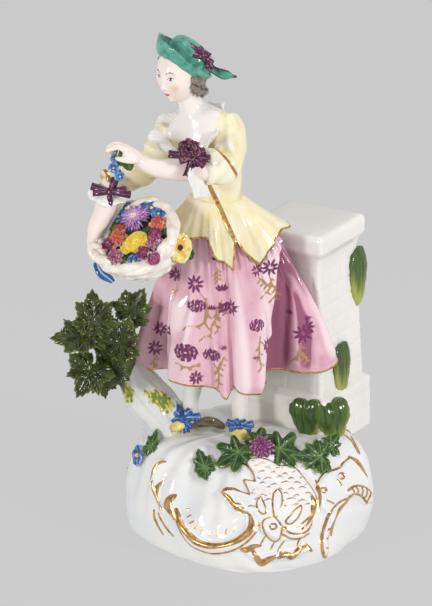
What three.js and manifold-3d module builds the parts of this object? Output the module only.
// A glazed and enamelled porcelain figure: a lady gathering flowers into a basket, standing on a
// rocaille mound beside a masonry pillar, with a vine growing over a tree trunk at her side.
// The clay parts are luted together and fired as one, so the whole work is one solid.
// Millimetres, +Z up, the origin in the middle of the flat underside, -Y towards the viewer.
import * as THREE from "three";
import { mergeVertices } from "three/addons/utils/BufferGeometryUtils.js";
import Module from "manifold-3d";

const wasm = await Module();
wasm.setup();

// Driving dimensions
const GROUND_Z = 47;
const PILLAR_CENTRE = [24.9, 25];
const PILLAR_TURN = THREE.MathUtils.degToRad(60);
const PILLAR_TOP_Z = 139.6;
const PILLAR_ROUND = 1.6;
const WAIST_Z = 160;
const BODY_TURN = THREE.MathUtils.degToRad(25);
const HEAD_CENTRE = [-30.5, -7, 222.8];
const HEAD_HALF = [9.2, 10.6, 13.2];
const HEAD_TURN = THREE.MathUtils.degToRad(48);
const HEAD_BOW = THREE.MathUtils.degToRad(5);
const HAT_CENTRE = [-32.4, -4.4, 228.5];
const HAT_AXIS = [0.63, 0.07, 0.78];
const BASKET_CENTRE = [-50, -24, 149.5];
const BASKET_AXIS = [-0.39, -0.51, 0.77];
const BASKET_RADIUS = 19;
const LEAF_THICK = 1.5;
const GLAZE_COLOUR = 0xf2efe9;

// Vectors and interpolation
const vec = (a) => new THREE.Vector3(a[0], a[1], a[2]);
const clamp = (x, low, high) => Math.max(low, Math.min(high, x));
const lerp = (a, b, f) => a + (b - a) * f;
const bell = (x, middle, width) => Math.exp(-(((x - middle) / width) ** 2));
const smooth = (low, high, x) => THREE.MathUtils.smoothstep(x, low, high);

// A row of numbers at share s of the way through the rows, on a Catmull-Rom curve.
function along(rows, s, closed = false) {
  const count = rows.length;
  const x = closed ? s * count : clamp(s, 0, 1) * (count - 1);
  const i = closed ? Math.floor(x) : Math.min(Math.floor(x), count - 2);
  const row = (k) => (closed ? rows[((k % count) + count) % count] : rows[clamp(k, 0, count - 1)]);
  const [a, b, c, d] = [row(i - 1), row(i), row(i + 1), row(i + 2)];
  const f = x - i;
  return b.map((_, n) => {
    const slope = (c[n] - a[n]) / 2;
    const next = (d[n] - b[n]) / 2;
    const drop = b[n] - c[n];
    return b[n] + slope * f + (-3 * drop - 2 * slope - next) * f * f + (2 * drop + slope + next) * f ** 3;
  });
}

// Solids
function solidOf(geometry) {
  const merged = mergeVertices(geometry, 1e-5);
  const made = new wasm.Manifold(
    new wasm.Mesh({
      numProp: 3,
      vertProperties: new Float32Array(merged.attributes.position.array),
      triVerts: new Uint32Array(merged.index.array),
    }),
  );
  return made;
}

function volumeOf(points, triangles) {
  const sum = triangles.reduce(
    (total, [a, b, c]) => total + points[a].dot(points[b].clone().cross(points[c])),
    0,
  );
  return sum / 6;
}

// Closed rings of equal count joined into one body, with a point closing each end.
function skin(rings, first, last) {
  const sides = rings[0].length;
  const points = [...rings.flat(), first, last];
  const triangles = [];
  rings.forEach((_, k) => {
    for (let j = 0; j < sides; j++) {
      const a = k * sides + j;
      const b = k * sides + ((j + 1) % sides);
      if (k === 0) triangles.push([points.length - 2, b, a]);
      if (k === rings.length - 1) triangles.push([points.length - 1, a, b]);
      else triangles.push([a, b, b + sides], [a, b + sides, a + sides]);
    }
  });
  const inward = volumeOf(points, triangles) < 0;
  const geometry = new THREE.BufferGeometry().setFromPoints(points);
  geometry.setIndex(triangles.flatMap(([a, b, c]) => (inward ? [a, c, b] : [a, b, c])));
  return solidOf(geometry);
}

const middleOf = (ring) =>
  ring.reduce((sum, p) => sum.add(p), new THREE.Vector3()).divideScalar(ring.length);

// An oval section carried along a smooth path: half holds its half sizes, along side and across it.
function sweep({ path, half, side, steps, sides, shape = () => 1 }) {
  const curve = new THREE.CatmullRomCurve3(path.map(vec), false, "catmullrom", 0.5);
  const rings = [];
  for (let k = 0; k <= steps; k++) {
    const s = k / steps;
    const tangent = curve.getTangent(s);
    const right = vec(side).addScaledVector(tangent, -vec(side).dot(tangent)).normalize();
    const up = tangent.clone().cross(right);
    const [a, b] = along(half, s);
    const ring = [];
    for (let j = 0; j < sides; j++) {
      const angle = (2 * Math.PI * (j + 0.5)) / sides;
      const grow = shape(angle, s);
      const offset = right.clone().multiplyScalar(a * Math.cos(angle) * grow);
      ring.push(curve.getPoint(s).add(offset.addScaledVector(up, b * Math.sin(angle) * grow)));
    }
    rings.push(ring);
  }
  return skin(rings, curve.getPoint(0), curve.getPoint(1));
}

// Three axes at right angles: out along the normal, and high as near as it can be to the given one.
function axesOf(normal, up = [0, 0, 1]) {
  const out = vec(normal).normalize();
  const high = vec(up).addScaledVector(out, -vec(up).dot(out)).normalize();
  return { out, high, wide: high.clone().cross(out) };
}

function placed({ at, axes }, x, y, z) {
  return vec(at).addScaledVector(axes.wide, x).addScaledVector(axes.high, y).addScaledVector(axes.out, z);
}

// The mound's plan: its radius every 22.5 degrees, from +X towards +Y.
const MOUND_PLAN = [57, 55.5, 55, 55, 54.5, 54, 54, 55, 56.5, 51.5, 49.5, 52, 57.5, 57, 54.5, 53].map((r) => [r]);
// Its profile at the sides and back, and down the front slope: share of the radius, and height.
const MOUND_SIDE = [
  [0.955, 0],
  [0.98, 4],
  [1.0, 13],
  [0.98, 23],
  [0.935, 33],
  [0.85, 41],
  [0.7, 46],
  [0.4, GROUND_Z],
];
const MOUND_FRONT = [
  [0.985, 0],
  [1.0, 4],
  [0.98, 11],
  [0.91, 20],
  [0.8, 29],
  [0.65, 37.5],
  [0.48, 44.5],
  [0.3, GROUND_Z],
];
const MOUND_SIDES = 27;

function moundPoint(angle, row) {
  const turn = (angle / (2 * Math.PI) + 1) % 1;
  const [reach] = along(MOUND_PLAN, turn, true);
  const front = smooth(0.3, 0.92, -Math.sin(angle));
  const side = along(MOUND_SIDE, row);
  const slope = along(MOUND_FRONT, row);
  const z = lerp(side[1], slope[1], front);
  const lump = 0.02 * Math.sin(5 * angle + 1) * smooth(2, 14, z) + 0.012 * Math.sin(9 * angle) * smooth(8, 26, z);
  const radius = reach * lerp(side[0], slope[0], front) * (1 + lump);
  return new THREE.Vector3(radius * Math.cos(angle), radius * Math.sin(angle), z);
}

function mound() {
  const rows = MOUND_SIDE.length - 1;
  const rings = [];
  for (let k = 0; k <= rows; k++) {
    const ring = [];
    for (let j = 0; j < MOUND_SIDES; j++) ring.push(moundPoint((2 * Math.PI * j) / MOUND_SIDES, k / rows));
    rings.push(ring);
  }
  return skin(rings, new THREE.Vector3(0, 0, 0), new THREE.Vector3(0, 0, GROUND_Z));
}

// A point on the mound's face: the angle round it, from +X towards +Y, and the share of the way up.
function onMound(degrees, row, proud = 0) {
  const angle = THREE.MathUtils.degToRad(degrees);
  const point = moundPoint(angle, row);
  const up = moundPoint(angle, Math.min(1, row + 0.02)).sub(moundPoint(angle, Math.max(0, row - 0.02)));
  const round = moundPoint(angle + 0.02, row).sub(moundPoint(angle - 0.02, row));
  return point.addScaledVector(round.cross(up).normalize(), proud);
}

// Rocaille scrolls: ridges that follow the mound's face. Each row is degrees, share up and half width.
const SCROLLS = [
  [[224, 0.54, 1.0], [227, 0.43, 2.6], [238, 0.3, 3.4], [253, 0.25, 3.2], [266, 0.34, 2.6], [271, 0.5, 1.0]],
  [[208, 0.74, 1.0], [204, 0.58, 2.2], [211, 0.46, 2.4], [222, 0.36, 1.0]],
  [[262, 0.25, 1.0], [272, 0.17, 3.0], [283, 0.22, 2.8], [300, 0.25, 1.0]],
  [[344, 0.47, 1.0], [330, 0.47, 2.4], [319, 0.38, 2.6], [311, 0.26, 2.4], [308, 0.12, 1.2]],
  [[317, 0.62, 1.0], [328, 0.68, 2.8], [341, 0.58, 2.8], [348, 0.42, 1.0]],
  [[346, 0.8, 1.0], [353, 0.64, 2.4], [357, 0.46, 1.0]],
  [[370, 0.84, 1.0], [377, 0.62, 2.8], [387, 0.4, 2.8], [399, 0.24, 1.0]],
  [[150, 0.76, 1.0], [141, 0.52, 2.8], [128, 0.34, 3.0], [112, 0.3, 2.6], [101, 0.44, 1.0]],
];
const SCROLL_PROUD = 0.75;

function scroll(rows) {
  const steps = rows.length;
  const rings = [];
  for (let k = 0; k <= steps; k++) {
    const s = k / steps;
    const [degrees, share, wide] = along(rows, s);
    const crest = onMound(degrees, share, wide * SCROLL_PROUD);
    const root = onMound(degrees, share, -1);
    const ahead = onMound(...along(rows, Math.min(1, s + 0.02)).slice(0, 2));
    const behind = onMound(...along(rows, Math.max(0, s - 0.02)).slice(0, 2));
    const aside = ahead.sub(behind).cross(crest.clone().sub(root)).setLength(wide);
    rings.push([crest, root.clone().add(aside), root.clone().sub(aside)]);
  }
  return skin(rings, middleOf(rings[0]), middleOf(rings.at(-1)));
}

// The rocaille shell in the middle of the front, a fan of ribs: share up the mound and its two edges' degrees.
const SHELL_ROWS = [
  [0.38, 279, 287],
  [0.47, 271, 304],
  [0.6, 265, 316],
  [0.72, 267, 313],
  [0.82, 272, 303],
];
const SHELL_RIBS = 9;

function shell() {
  const line = ([row, from, to], proud) => {
    const points = [];
    for (let j = 0; j < SHELL_RIBS; j++) {
      const f = j / (SHELL_RIBS - 1);
      const rib = proud > 0 && j % 2 ? 1.1 : 0;
      points.push(onMound(lerp(from, to, f), row - 0.28 * (f - 0.5) ** 2, proud + rib));
    }
    return points;
  };
  const rings = SHELL_ROWS.map((row) => [...line(row, 1.6), ...line(row, -2).reverse()]);
  return skin(rings, middleOf(rings[0]), middleOf(rings.at(-1)));
}

// The masonry pillar: a plinth, a shaft that tapers a little, and a moulded top slab. Each row is
// height, half size along the turn and half size across it.
const PILLAR_ROWS = [
  [38, 22.4, 21.6],
  [61, 22.4, 21.6],
  [64, 19.6, 18.8],
  [124, 18.0, 17.2],
  [128.5, 18.8, 18.0],
  [131, 20.6, 19.8],
  [137.6, 20.9, 20.2],
  [PILLAR_TOP_Z, 19.6, 18.9],
];

function pillarRing([z, a, b]) {
  const long = new THREE.Vector3(Math.cos(PILLAR_TURN), Math.sin(PILLAR_TURN), 0);
  const wide = new THREE.Vector3(-long.y, long.x, 0);
  const corners = [[1, 1], [-1, 1], [-1, -1], [1, -1]];
  return corners.flatMap(([i, j]) => {
    const cuts = i * j > 0 ? [[0, 1], [1, 0]] : [[1, 0], [0, 1]];
    return cuts.map(([cutLong, cutWide]) =>
      new THREE.Vector3(PILLAR_CENTRE[0], PILLAR_CENTRE[1], z)
        .addScaledVector(long, i * (a - cutLong * PILLAR_ROUND))
        .addScaledVector(wide, j * (b - cutWide * PILLAR_ROUND)),
    );
  });
}

function pillar() {
  const middle = (z) => new THREE.Vector3(PILLAR_CENTRE[0], PILLAR_CENTRE[1], z);
  return skin(PILLAR_ROWS.map(pillarRing), middle(PILLAR_ROWS[0][0]), middle(PILLAR_TOP_Z + 0.2));
}

// The tree trunk that rises under the left of the skirt.
const TRUNK = {
  path: [[-38, 7, 34], [-41, 6, 48], [-43.5, 5.5, 58], [-48.5, 5.5, 68], [-54, 5, 76], [-56.5, 4, 83]],
  half: [[15, 13], [12.5, 10.5], [11.2, 9.5], [9, 8], [6.4, 6], [3, 3]],
  side: [1, 0, 0],
  steps: 5,
  sides: 8,
  shape: (angle, s) => 1 + 0.07 * Math.sin(3 * angle + 5 * s),
};

// The skirt's hem. Each row is the angle at the waist, and the hem's X, Y and height there.
const HEM = [
  [180, -53.5, 6, 76],
  [196, -46, 1.5, 76],
  [208, -36.5, 0.5, 76],
  [218, -34.5, -11, 76],
  [230, -27, -15.5, 75],
  [243, -18, -17, 74.5],
  [254, -12.5, -17.5, 73],
  [262, -9.5, -20, 70],
  [270, -6.5, -15.5, 75],
  [279, -2, -19, 73],
  [289, 4.5, -18.5, 71.5],
  [298, 8.5, -12.5, 73],
  [308, 11, -3.5, 76],
  [320, 22, -3, 76],
  [335, 33, -3.5, 76.5],
  [352, 41, 2, 79],
  [375, 37, 12, 78],
  [400, 24, 18, 76],
  [425, 8, 26, 75],
  [450, -10, 29, 75],
  [475, -28, 27, 75],
  [505, -44, 18, 75],
];
// Sections down the skirt: height, middle X and Y, and half width and depth.
const SKIRT_ROWS = [
  [WAIST_Z + 2, -14.2, -3, 11, 8.6],
  [151, -12.5, -2.8, 19, 13.5],
  [137, -10.5, -1.5, 25.5, 16.5],
  [117, -8.5, 0.5, 33, 18.5],
  [96, -7, 2, 40, 20.5],
  [75, -6, 3, 46, 22],
];
const SKIRT_SIDES = 46;
const SKIRT_STEPS = 5;
// The hem's angles less the even turn, so that they interpolate round the closed ring.
const HEM_ROUND = HEM.map(([turn, ...rest], k) => [turn - (360 * k) / HEM.length, ...rest]);

// A point on the skirt: the share round it and the share of the way down.
function skirtPoint(u, t, proud = 0) {
  const [turn, hemX, hemY, hemZ] = along(HEM_ROUND, u, true);
  const angle = THREE.MathUtils.degToRad(turn + 360 * u);
  const [z, x, y, wide, deep] = along(SKIRT_ROWS, t);
  const [lastZ, lastX, lastY, lastWide, lastDeep] = SKIRT_ROWS.at(-1);
  const gather = t ** 0.8;
  const flat = new THREE.Vector2(
    lerp(wide * Math.cos(angle), ((hemX - lastX) * wide) / lastWide, gather),
    lerp(deep * Math.sin(angle), ((hemY - lastY) * deep) / lastDeep, gather),
  );
  flat.setLength(flat.length() + proud);
  return new THREE.Vector3(x + flat.x, y + flat.y, z + (hemZ - lastZ) * t * t);
}

function skirtRing(t, proud) {
  const ring = [];
  for (let j = 0; j < SKIRT_SIDES; j++) ring.push(skirtPoint(j / SKIRT_SIDES, t, proud));
  return ring;
}

function skirt() {
  const rings = [];
  for (let k = 0; k <= SKIRT_STEPS; k++) rings.push(skirtRing(k / SKIRT_STEPS, 0));
  rings.push(skirtRing(1, -2.2));
  return skin(rings, new THREE.Vector3(-14, -3, WAIST_Z + 2), new THREE.Vector3(-6, 5, 92));
}

// The jacket's skirts, flared over the petticoat: share round, how far down they hang, and the flare.
const PEPLUM = [
  [0.0, 0.26, 4],
  [0.08, 0.24, 3],
  [0.14, 0.24, 2.2],
  [0.2, 0.26, 1.8],
  [0.26, 0.43, 1.6],
  [0.3, 0.5, 1.6],
  [0.325, 0.3, 1.4],
  [0.35, 0.2, 1.4],
  [0.4, 0.33, 1.8],
  [0.44, 0.44, 2.2],
  [0.5, 0.3, 4],
  [0.56, 0.2, 6],
  [0.64, 0.2, 6],
  [0.75, 0.24, 5],
  [0.88, 0.26, 5],
  [1.0, 0.26, 4],
];
const PEPLUM_SIDES = 34;

function peplumEdge(u) {
  const k = PEPLUM.findIndex((row) => row[0] > u) - 1;
  const f = (u - PEPLUM[k][0]) / (PEPLUM[k + 1][0] - PEPLUM[k][0]);
  return [1, 2].map((n) => lerp(PEPLUM[k][n], PEPLUM[k + 1][n], f));
}

function peplum() {
  const ring = (share, inset) => {
    const points = [];
    for (let j = 0; j < PEPLUM_SIDES; j++) {
      const [down, flare] = peplumEdge(j / PEPLUM_SIDES);
      points.push(skirtPoint(j / PEPLUM_SIDES, down * share, 1.2 + flare * share * share - inset));
    }
    return points;
  };
  const rings = [ring(0, 0), ring(0.5, 0), ring(1, 0), ring(1, 1.8)];
  return skin(rings, new THREE.Vector3(-14, -3, WAIST_Z + 2), new THREE.Vector3(-11, -2, 150));
}

// The bodice with the bare shoulders above it, facing a little to the left, and the neck.
const BODY_SIDE = [Math.cos(BODY_TURN), -Math.sin(BODY_TURN), 0];
const BODY = {
  path: [
    [-13.6, -3, 154],
    [-14, -3, 161],
    [-14.8, -4, 170],
    [-17.2, -5, 179],
    [-20.2, -4.6, 189],
    [-22.4, -3.6, 197],
    [-24, -3.2, 202],
    [-25, -3.4, 205],
  ],
  half: [[12, 9.6], [11.2, 8.8], [13.2, 9.8], [15.4, 11.4], [16.8, 10.6], [16, 8.4], [10.4, 6.8], [5.4, 5.4]],
  side: BODY_SIDE,
  steps: 9,
  sides: 14,
};
const NECK = {
  path: [[-23.6, -3, 198], [-26, -4, 206], [-28.4, -5.4, 213.5], [-30, -6.4, 220]],
  half: [[7.6, 6.8], [5.7, 5.5], [5.2, 5.4], [5, 6]],
  side: BODY_SIDE,
  steps: 4,
  sides: 9,
};

// Sleeves and bare arms, each from the shoulder towards the wrist.
const ARMS = [
  {
    path: [[-10.5, -5, 199], [-8.2, -9, 194.6], [-8.4, -16, 188], [-11.4, -22, 183.2], [-19, -25.4, 183.4]],
    half: [[5.4, 6.4], [7.0, 7.4], [7.2, 7.6], [7.4, 8.2], [6.8, 7.8]],
    steps: 5,
    sides: 10,
  },
  {
    path: [[-14, -24.5, 183.4], [-28.6, -27, 184.2], [-37.7, -28, 185], [-44.5, -28.6, 186.5], [-49, -29, 189]],
    half: [[5.6, 5.8], [4.9, 5.1], [4.3, 4.5], [3.6, 3.7], [3.4, 3.2]],
    steps: 4,
    sides: 8,
  },
  {
    path: [[-34, 2, 192], [-39.5, 1, 184], [-44, -1, 176], [-52.3, -4, 170.6], [-60, -7, 169.4]],
    half: [[6.4, 6.4], [6.6, 6.8], [6.8, 7], [6.6, 6.8], [6.4, 6.4]],
    steps: 5,
    sides: 9,
  },
  {
    path: [[-60, -8, 171], [-63, -11, 164.6], [-64.8, -13.4, 158], [-68, -16, 151.4], [-69.6, -19, 145.4]],
    half: [[5.2, 5.2], [5, 5], [4.8, 4.8], [4.2, 4.2], [3.7, 3.2]],
    steps: 4,
    sides: 8,
  },
];

// Hands: a palm, fingers and a thumb, each a path with its thickness.
const PALMS = [
  { path: [[-48, -29, 188.4], [-51.5, -29.6, 191.6], [-55.2, -30.2, 194.8]], half: [[3.4, 3], [4.2, 2.8], [4, 2.2]] },
  { path: [[-69.6, -18.4, 146.4], [-69.4, -21.6, 142], [-66.6, -24.4, 138.6]], half: [[3.7, 3.2], [4.4, 2.6], [4, 2.2]] },
];
const FINGERS = [
  [[-54.5, -32.6, 195], [-59.4, -33, 196.4], [-63.4, -33, 194.8]],
  [[-55, -30.6, 195.6], [-60, -30.8, 196.8], [-63.8, -31, 194]],
  [[-54.6, -28.6, 195], [-59, -28.6, 195.4], [-61.6, -29, 192]],
  [[-50.5, -32.4, 190.6], [-55, -34, 191.2], [-59.4, -33.4, 192]],
  [[-68.6, -24.4, 141.6], [-65.4, -28.4, 140.2], [-61.2, -29.8, 139.6]],
  [[-67.4, -24, 139], [-64, -27.8, 136.8], [-60, -28.8, 136.2]],
  [[-66, -22.8, 137], [-62.6, -26, 134.2], [-58.8, -26.4, 133.6]],
  [[-70, -20, 144.6], [-69.4, -25, 145.6], [-66, -28.8, 146.6]],
];
const finger = (path) =>
  sweep({ path, half: [[1.9, 1.8], [1.6, 1.5], [0.9, 0.9]], side: [0.2, 1, 0.1], steps: 2, sides: 4 });

// Lace frills: waved strips that stand off an edge, with the way they flare at each point.
const FRILLS = [
  {
    edge: [
      [-19, 2, 201.5],
      [-12.5, -1, 202],
      [-10.6, -8, 198],
      [-13.5, -14.6, 192.5],
      [-19.5, -17, 188.5],
      [-27.5, -16.6, 186.6],
      [-34, -11.6, 187.6],
      [-37.6, -4, 190],
      [-35, 2.6, 194.5],
      [-29, 4, 199],
    ],
    flare: [
      [0.2, 0.8, 0.2],
      [0.9, 0.2, 0.5],
      [0.9, -0.5, 0.4],
      [0.5, -0.8, 0.3],
      [0, -1, 0.3],
      [-0.3, -0.9, 0.3],
      [-0.8, -0.6, 0.4],
      [-1, 0, 0.4],
      [-0.8, 0.5, 0.5],
      [-0.2, 0.8, 0.3],
    ],
    wide: 4,
    waves: 3,
    wave: 0.9,
    count: 12,
  },
  {
    edge: [[-21, -31, 189], [-22, -33.6, 185], [-22, -32.6, 179.5], [-20, -28, 177], [-18.6, -22, 178.5]],
    flare: [[-0.8, -0.6, 0.2], [-0.6, -0.6, -0.9], [-0.1, -0.4, -1.3], [0.1, 0, -1.4], [0, 0.4, -1.2]],
    wide: 8,
    waves: 2,
    wave: 1.1,
    count: 8,
  },
  {
    edge: [[-56.5, -13, 166.5], [-62, -15.4, 165], [-67.6, -12.6, 166.6], [-68.4, -6, 168], [-64, -2, 166.5]],
    flare: [[0.4, -0.7, -1], [-0.2, -0.8, -1], [-1, -0.4, -0.8], [-1, 0.3, -0.8], [-0.4, 0.9, -1]],
    wide: 5,
    waves: 2,
    wave: 1.0,
    count: 8,
  },
];
const FRILL_THICK = 1.2;

function frill({ edge, flare, wide, waves, wave, count }) {
  const curve = new THREE.CatmullRomCurve3(edge.map(vec), false, "catmullrom", 0.5);
  const rings = [];
  for (let k = 0; k <= count; k++) {
    const s = k / count;
    const out = vec(along(flare, s)).normalize();
    const normal = curve.getTangent(s).cross(out).normalize();
    const phase = 2 * Math.PI * waves * s;
    const root = curve.getPoint(s).addScaledVector(out, -1.6);
    const tip = curve.getPoint(s).addScaledVector(out, wide * (0.85 + 0.15 * Math.cos(phase)));
    tip.addScaledVector(normal, wave * Math.sin(phase));
    const half = FRILL_THICK / 2;
    rings.push([
      root.clone().addScaledVector(normal, half),
      tip.clone().addScaledVector(normal, half),
      tip.clone().addScaledVector(normal, -half),
      root.clone().addScaledVector(normal, -half),
    ]);
  }
  return skin(rings, middleOf(rings[0]), middleOf(rings.at(-1)));
}

// The head: an egg of clay with a brow, nose, lips, chin and cheeks pressed up from it. Each mark is
// its turn from the face's middle line and its tilt above the level in degrees, how wide and how
// high it spreads, and how far it stands out.
const FACE = [
  [0, -8, 6, 13, 1.2],
  [0, -16, 7.5, 6, 1.0],
  [0, -31, 12, 4.5, 0.55],
  [0, -52, 15, 11, 1.0],
  [24, 3, 13, 8, -1.0],
  [-24, 3, 13, 8, -1.0],
  [34, -16, 16, 14, 0.35],
  [-34, -16, 16, 14, 0.35],
];
// Turns round the head, closer together across the face, and tilts from the chin up.
const HEAD_TURNS = [-180, -120, -80, -54, -32, -16, -5, 5, 16, 32, 54, 80, 120];
const HEAD_TILTS = [-66, -50, -38, -30, -22, -13, -3, 7, 24, 54];

function headPoint(turn, tilt, size = HEAD_HALF) {
  const [t, e] = [turn, tilt].map(THREE.MathUtils.degToRad);
  const jaw = 1 - 0.2 * smooth(5, 75, -tilt) * (0.4 + 0.6 * Math.abs(Math.sin(t)));
  const flat = Math.cos(e) * jaw;
  return new THREE.Vector3(Math.sin(t) * flat * size[0], -Math.cos(t) * flat * size[1], Math.sin(e) * size[2]);
}

function facePoint(turn, tilt) {
  const marks = FACE.map(([t, e, wide, high, proud]) => proud * bell(turn, t, wide) * bell(tilt, e, high));
  return headPoint(turn, tilt).multiplyScalar(1 + marks.reduce((sum, m) => sum + m, 0) / HEAD_HALF[1]);
}

function headPlaced(point) {
  return point
    .applyAxisAngle(new THREE.Vector3(1, 0, 0), HEAD_BOW)
    .applyAxisAngle(new THREE.Vector3(0, 0, 1), -HEAD_TURN)
    .add(vec(HEAD_CENTRE));
}

function head() {
  const rings = HEAD_TILTS.map((tilt) => HEAD_TURNS.map((turn) => headPlaced(facePoint(turn, tilt))));
  const chin = headPlaced(new THREE.Vector3(0, 0, -HEAD_HALF[2] * 0.985));
  return skin(rings, chin, headPlaced(new THREE.Vector3(0, 0, HEAD_HALF[2])));
}

// The hair, drawn back from the face and rolled at the nape, in locks.
const HAIR_FROM = 66;
const HAIR_COUNT = 11;
const HAIR_OUT = [0.9, 1.8, 0.8];

function hair() {
  const size = HEAD_HALF.map((half, n) => half + HAIR_OUT[n]);
  const rings = [-46, -26, -4, 22, 54].map((tilt, k) => {
    const ring = [];
    for (let j = 0; j < HAIR_COUNT; j++) {
      const turn = HAIR_FROM + ((360 - 2 * HAIR_FROM) * j) / (HAIR_COUNT - 1);
      const lock = j % 2 === k % 2 ? 1.04 : 0.98;
      ring.push(headPlaced(headPoint(turn, tilt, size).multiplyScalar(lock)));
    }
    return ring;
  });
  return skin(rings, headPlaced(new THREE.Vector3(0, 5, -7)), headPlaced(new THREE.Vector3(0, 2, 12)));
}

const CURLS = [
  { path: [[-24.6, -13.4, 224], [-23.6, -14, 219], [-24.2, -13, 214.4]], half: [[1.8, 1.8], [2.4, 2.3], [1.3, 1.3]] },
  { path: [[-20.8, -8.5, 222], [-20.2, -9, 216.5], [-21, -8.6, 211.4]], half: [[2, 2], [2.6, 2.4], [1.4, 1.3]] },
];

// The hat: a low crown in a brim that is turned up all round. Each row is a radius and a height.
const HAT_ROWS = [
  [9.6, -1.8],
  [11.4, 0],
  [13.6, 3.2],
  [14.5, 6.0],
  [13.0, 5.0],
  [10.4, 2.2],
  [7.6, 6.4],
  [5.0, 8.2],
];
const HAT_SIDES = 14;

function hat() {
  const frame = { at: HAT_CENTRE, axes: axesOf(HAT_AXIS, [-0.8, 0, 0.6]) };
  const rings = HAT_ROWS.map(([radius, high], k) => {
    const brim = k > 1 && k < 5 ? 1 : 0;
    const ring = [];
    for (let j = 0; j < HAT_SIDES; j++) {
      const angle = (2 * Math.PI * j) / HAT_SIDES;
      const lift = brim * 0.3 * Math.sin(angle) * (high / 6);
      const reach = radius * (1 + brim * 0.03 * Math.sin(3 * angle + 1));
      ring.push(placed(frame, reach * Math.cos(angle), reach * Math.sin(angle) * 1.04, high + lift));
    }
    return ring;
  });
  return skin(rings, placed(frame, 0, 0, -2.2), placed(frame, 0, 0, 8.6));
}

// Ribbon bows: loops and tails that run from a knot, each by its end across, up and out of the knot.
const BOWS = [
  {
    at: [-25.6, -32.4, 194],
    normal: [-0.2, -0.9, 0.4],
    loops: [[-9.5, -1.2, 0.4], [8.4, -2.4, 0], [2.4, 5.4, 0.6], [-2.6, 5.2, 0.8]],
    tails: [[-1.5, -10, -0.4]],
  },
  {
    at: [-62, -14, 169.6],
    normal: [-0.3, -0.9, 0.3],
    loops: [[-9.2, 0.6, 0], [9, 1.4, 0.2], [0.8, 6, 0.2]],
    tails: [[-3, -11, -1]],
  },
  {
    at: [-17.8, -7.4, 225.4],
    normal: [0.4, -0.9, 0.3],
    size: 0.85,
    loops: [[-6.4, 8.4, 0.2], [-1, 7.6, 0.6]],
    tails: [[14, -6.4, -1], [6, -3, 0]],
  },
  {
    at: [-29.2, 0.6, 56],
    normal: [-0.3, -0.8, 0.5],
    size: 0.8,
    loops: [[-6.6, 8, 0.5], [8.6, 0.6, 0], [-8.6, -2, 0]],
    tails: [[1.6, -7.6, -0.6]],
  },
  {
    at: [-3.5, -4.4, 54],
    normal: [0, -0.85, 0.5],
    size: 0.8,
    loops: [[-7.6, 2.2, 0], [8, 1.4, 0]],
    tails: [[-2.5, -5.2, -0.6], [6.4, -4.4, -0.6]],
  },
];
const STRAP_HALF = 0.9;

// One strap of ribbon: narrow at the knot, full in the middle and rounded at its end.
function strap(frame, [x, y, z], wide, size) {
  const end = placed(frame, x * size, y * size, z * size);
  const run = end.clone().sub(vec(frame.at));
  const aside = run.clone().cross(frame.axes.out).setLength(wide * size);
  const out = frame.axes.out.clone().setLength(STRAP_HALF * size);
  const ring = (share, full) => {
    const middle = vec(frame.at).addScaledVector(run, share).addScaledVector(out, share * 0.6);
    return [[1, 0], [0, 1], [-1, 0], [0, -1]].map(([a, b]) =>
      middle.clone().addScaledVector(aside, a * full).addScaledVector(out, b),
    );
  };
  return skin([ring(0.15, 0.5), ring(0.75, 1)], vec(frame.at).addScaledVector(run, -0.1), end);
}

function bow({ at, normal, loops, tails, size = 1 }) {
  const frame = { at, axes: axesOf(normal) };
  return [
    strap(frame, [0.4, 2.2, 0.4], 1.6, size),
    ...loops.map((end) => strap(frame, end, 2.6, size)),
    ...tails.map((end) => strap(frame, end, 1.8, size)),
  ];
}

// The legs and the heeled shoes.
const LEGS = [
  { path: [[-4, 1, 90], [-3.6, -0.4, 68], [-3.4, -1.6, 52]], half: [[6, 6], [4.2, 4.4], [3.8, 4.6]], steps: 3 },
  { path: [[-21, 6, 92], [-24.6, 6.2, 69], [-27, 5, 54]], half: [[6, 6], [4.2, 4.4], [3.8, 4.6]], steps: 3 },
  {
    path: [[-3.6, 3.6, 47.6], [-3.4, -1, 50], [-3.4, -6.5, 49], [-3.4, -12.4, 47]],
    half: [[3.4, 3.2], [4.2, 4.6], [4.8, 3.2], [2, 1.6]],
    steps: 4,
  },
  {
    path: [[-24, 8.5, 49], [-27.5, 5, 52], [-30.6, 0.6, 51], [-33.6, -4.6, 49.4]],
    half: [[3.4, 3.2], [4.2, 4.6], [4.8, 3.2], [2, 1.6]],
    steps: 4,
  },
];

// The basket: a low bowl with a thick rim, full of flowers. Each row is a radius and a height.
const BASKET_ROWS = [
  [9.5, -19.6],
  [15.2, -12],
  [17.4, -3],
  [20.2, -0.4],
  [19.6, 2.2],
  [16.4, 1.2],
];
const BASKET_SIDES = 14;
const BASKET_FRAME = { at: BASKET_CENTRE, axes: axesOf(BASKET_AXIS) };

function basket() {
  const rings = BASKET_ROWS.map(([radius, high], k) => {
    const ring = [];
    for (let j = 0; j < BASKET_SIDES; j++) {
      const angle = (2 * Math.PI * (j + 0.5 * (k % 2))) / BASKET_SIDES;
      const reach = (radius / 20.2) * (BASKET_RADIUS + 1.2);
      ring.push(placed(BASKET_FRAME, reach * Math.cos(angle), reach * Math.sin(angle), high));
    }
    return ring;
  });
  return skin(rings, placed(BASKET_FRAME, 0, 0, -20.6), placed(BASKET_FRAME, 0, 0, 1.4));
}

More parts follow.
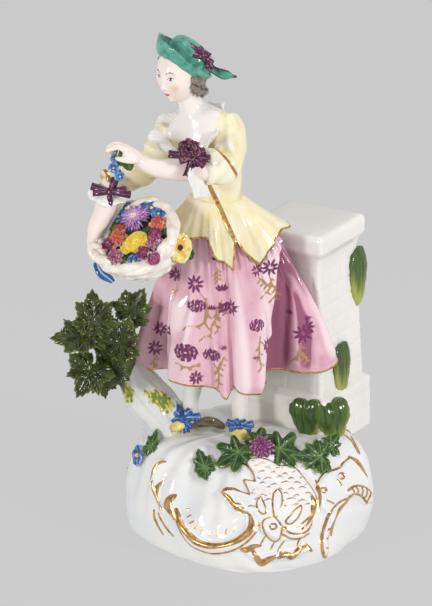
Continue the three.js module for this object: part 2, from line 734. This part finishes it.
// Flowers in the basket: across, up and out from the middle of its rim, radius and petals.
const BASKET_FLOWERS = [
  [-4.2, 7.6, 2.8, 7.4, 8],
  [3.8, -4.6, 3.2, 6.0, 5],
  [-7.4, -4.4, 2.6, 4.6, 5],
  [-4.0, -12.2, 2.2, 4.4, 5],
  [8.4, 7.6, 2.2, 4.2, 5],
  [10.6, -3.4, 2.2, 4.2, 5],
  [-10.6, 11, 2, 4.0, 5],
  [2.4, 14.4, 2, 4.0, 5],
  [5.4, -12, 2, 4.4, 5],
];
const LOOSE_FLOWERS = [
  { at: [-31, -22, 144.4], normal: [0.15, -0.95, 0.25], radius: 6.6, petals: 5 },
  { at: [-40.4, -32, 140.4], normal: [0.2, -0.9, 0.2], radius: 4, petals: 5 },
  { at: [-59.6, -32.4, 184.6], normal: [-0.3, -0.9, 0], radius: 4.2, petals: 5 },
  { at: [-58.6, -32, 190], normal: [0.1, -0.9, 0.3], radius: 3.4, petals: 5 },
  { at: [-56.6, -4, 69.4], normal: [-0.3, -0.9, 0.2], radius: 5, petals: 5 },
  { at: onMound(285, 0.94, 1.4).toArray(), normal: [0.1, -0.6, 0.8], radius: 6.4, petals: 7, high: 0.6 },
  { at: onMound(190, 0.66, 0.6).toArray(), normal: [-0.7, -0.6, 0.3], radius: 4.4, petals: 5 },
];

// A modelled flower: a ring of petals round a raised middle.
function flower({ at, normal, radius, petals, high = 0.35 }) {
  const frame = { at, axes: axesOf(normal, [0.2, 0.1, 1]) };
  const ring = [];
  for (let j = 0; j < petals * 2; j++) {
    const angle = (Math.PI * j) / petals;
    const reach = radius * (j % 2 ? 0.78 : 1.04);
    ring.push(placed(frame, reach * Math.cos(angle), reach * Math.sin(angle), 0));
  }
  return skin([ring], placed(frame, 0, 0, -0.6 * radius), placed(frame, 0, 0, high * radius));
}

// Leaf outlines: each lobe's and notch's turn from the tip in degrees, and its reach.
const VINE = [[0, 1], [24, 0.76], [48, 0.97], [74, 0.72], [102, 0.88], [132, 0.6], [160, 0.62]];
const BLUNT = [[0, 1], [26, 0.72], [58, 0.5], [95, 0.48], [138, 0.66], [165, 0.8]];
const SPRIG = [[0, 1], [22, 0.68], [42, 0.82], [66, 0.56], [92, 0.66], [128, 0.48]];

const LEAVES = [
  { at: [-70, -7, 105], normal: [-0.1, -0.9, 0.35], tip: [0.08, 0, 1], size: 13.5 },
  { at: [-52.6, -1.5, 106.5], normal: [0.15, -0.9, 0.3], tip: [0.35, 0, 1], size: 11 },
  { at: [-77.5, -10, 98.5], normal: [-0.2, -0.7, 0.65], tip: [-1, 0, 0], size: 12 },
  { at: [-57.4, -8.5, 94], normal: [0.15, -0.9, 0.1], tip: [0, 0, 1], size: 11.5 },
  { at: [-72.5, -11.5, 80.4], normal: [-0.2, -0.85, 0.4], tip: [-1, 0, 0.1], size: 13 },
  { at: [-66, -9, 73.6], normal: [-0.2, -0.9, 0.2], tip: [-0.3, 0, -1], size: 10 },
  { at: [-60.5, -9, 79], normal: [0.1, -0.9, 0.2], tip: [0.3, 0, -1], size: 9 },
  { at: [-38.2, -3, 57.4], normal: [0.3, -0.8, 0.5], tip: [0.9, 0, -0.5], size: 7, lobes: SPRIG },
  { at: onMound(196, 0.76, 0.4).toArray(), normal: [-0.6, -0.5, 0.6], tip: [-0.1, 0, 1], size: 7.6, lobes: SPRIG },
  { at: onMound(229, 0.78, 0.4).toArray(), normal: [-0.3, -0.7, 0.7], tip: [-0.25, 0, 1], size: 8.6, lobes: SPRIG },
  { at: onMound(262, 0.9, 0.6).toArray(), normal: [-0.1, -0.5, 0.85], tip: [-1, -0.15, 0], size: 10 },
  { at: onMound(304, 0.88, 0.6).toArray(), normal: [0.15, -0.5, 0.85], tip: [1, 0.1, 0], size: 10 },
  { at: onMound(288, 1, 0.6).toArray(), normal: [0, -0.5, 0.85], tip: [0.3, 0.9, 0.3], size: 7 },
  { at: onMound(329, 0.77, 0.4).toArray(), normal: [0.3, -0.6, 0.7], tip: [-0.9, -0.2, 0], size: 11, lobes: SPRIG },
  { at: [48.4, 31.4, 109.3], normal: [0.866, -0.5, 0], tip: [0, 0, -1], size: 12.5, lobes: BLUNT },
  { at: [41.4, 17, 72.6], normal: [0.866, -0.5, 0], tip: [0, 0, -1], size: 12.5, lobes: BLUNT },
  { at: [25.6, -1.2, 54], normal: [-0.5, -0.866, 0], tip: [0, 0, -1], size: 10, lobes: BLUNT, thick: 3 },
  { at: [38.6, 5.6, 51.8], normal: [0.7, -0.7, 0], tip: [0, 0, -1], size: 11, lobes: BLUNT, thick: 4 },
];

function leaf({ at, normal, tip, size, lobes = VINE, thick = LEAF_THICK }) {
  const frame = { at, axes: axesOf(normal, tip) };
  const outline = [...lobes, ...lobes.slice(1).reverse().map(([turn, reach]) => [-turn, reach])];
  const ring = outline.map(([turn, reach]) => {
    const angle = THREE.MathUtils.degToRad(90 - turn);
    return placed(frame, size * reach * Math.cos(angle), size * reach * Math.sin(angle), 0);
  });
  return skin([ring], placed(frame, 0, 0, -thick), placed(frame, 0, 0, thick));
}

// Stems that carry the leaves and loose flowers from the trunk, the mound, the hand and the basket.
const STEMS = [
  { path: [[-55, 3, 78], [-61, -4, 90], [-69, -5, 102]], half: [[4.4, 4.4], [3.4, 3.4], [1.4, 1.4]] },
  { path: [[-55, 4, 78], [-54, 1, 92], [-52.6, 0, 104]], half: [[4, 4], [3, 3], [1.4, 1.4]] },
  { path: [[-60, -2, 86], [-68, -6, 93], [-78, -7.4, 98]], half: [[3.6, 3.6], [3, 3], [1.4, 1.4]] },
  { path: [[-56, 2, 78], [-63, -5, 80], [-72.2, -11, 80.4]], half: [[4, 4], [3.2, 3.2], [1.6, 1.6]] },
  { path: [[-56, 2, 76], [-60, -4, 74], [-65, -7.4, 73]], half: [[4, 4], [3, 3], [1.4, 1.4]] },
  { path: [[-57, -30.4, 193.6], [-58.4, -31, 189], [-59.6, -31.4, 184]], half: [[1.8, 1.8], [2, 2], [1.6, 1.6]] },
  { path: [[-38, -16, 145], [-34, -19.6, 144.8], [-31, -21.4, 144.4]], half: [[3.4, 3.4], [3, 3], [2.4, 2.4]] },
  { path: [[-26, 4, 48], [-19, 3, 51], [-11, 4, 47.4]], half: [[1.6, 1.6], [2, 2], [1.6, 1.6]] },
  { path: [[-66, -25, 137], [-64.6, -25.6, 132.6], [-61.6, -26, 128.6]], half: [[1.6, 1.6], [1.7, 1.7], [1.1, 1.1]] },
];

// Everything luted together.
function figure() {
  const basketFlowers = BASKET_FLOWERS.map(([x, y, z, radius, petals]) => ({
    at: placed(BASKET_FRAME, x, y, z).toArray(),
    normal: [BASKET_AXIS[0] + x * 0.02, BASKET_AXIS[1] - 0.2, BASKET_AXIS[2] + y * 0.02],
    radius,
    petals,
  }));
  const parts = [
    mound(),
    pillar(),
    sweep(TRUNK),
    shell(),
    skirt(),
    peplum(),
    sweep(BODY),
    sweep(NECK),
    head(),
    hair(),
    hat(),
    basket(),
    ...SCROLLS.map(scroll),
    ...ARMS.map((row) => sweep({ side: [0.2, 1, 0.1], ...row })),
    ...PALMS.map((row) => sweep({ side: [0.2, 1, 0.1], steps: 2, sides: 6, ...row })),
    ...FINGERS.map(finger),
    ...FRILLS.map(frill),
    ...LEGS.map((row) => sweep({ side: [1, 0, 0], sides: 6, ...row })),
    ...CURLS.map((row) => sweep({ side: [1, 0, 0], steps: 2, sides: 5, ...row })),
    ...BOWS.flatMap(bow),
    ...[...basketFlowers, ...LOOSE_FLOWERS].map(flower),
    ...LEAVES.map(leaf),
    ...STEMS.map((row) => sweep({ side: [0, 0.4, 1], steps: 2, sides: 4, ...row })),
  ];
  return parts.reduce((whole, part) => whole.add(part));
}

function geometryOf(body) {
  const mesh = body.getMesh();
  const geometry = new THREE.BufferGeometry();
  geometry.setAttribute("position", new THREE.BufferAttribute(new Float32Array(mesh.vertProperties), 3));
  geometry.setIndex(new THREE.BufferAttribute(new Uint32Array(mesh.triVerts), 1));
  geometry.computeVertexNormals();
  return geometry;
}

const glaze = new THREE.MeshStandardMaterial({ color: GLAZE_COLOUR, roughness: 0.15, metalness: 0 });
const lady = new THREE.Mesh(geometryOf(figure()), glaze);
lady.name = "lady_figure";

const group = new THREE.Group();
group.add(lady);
export default group;
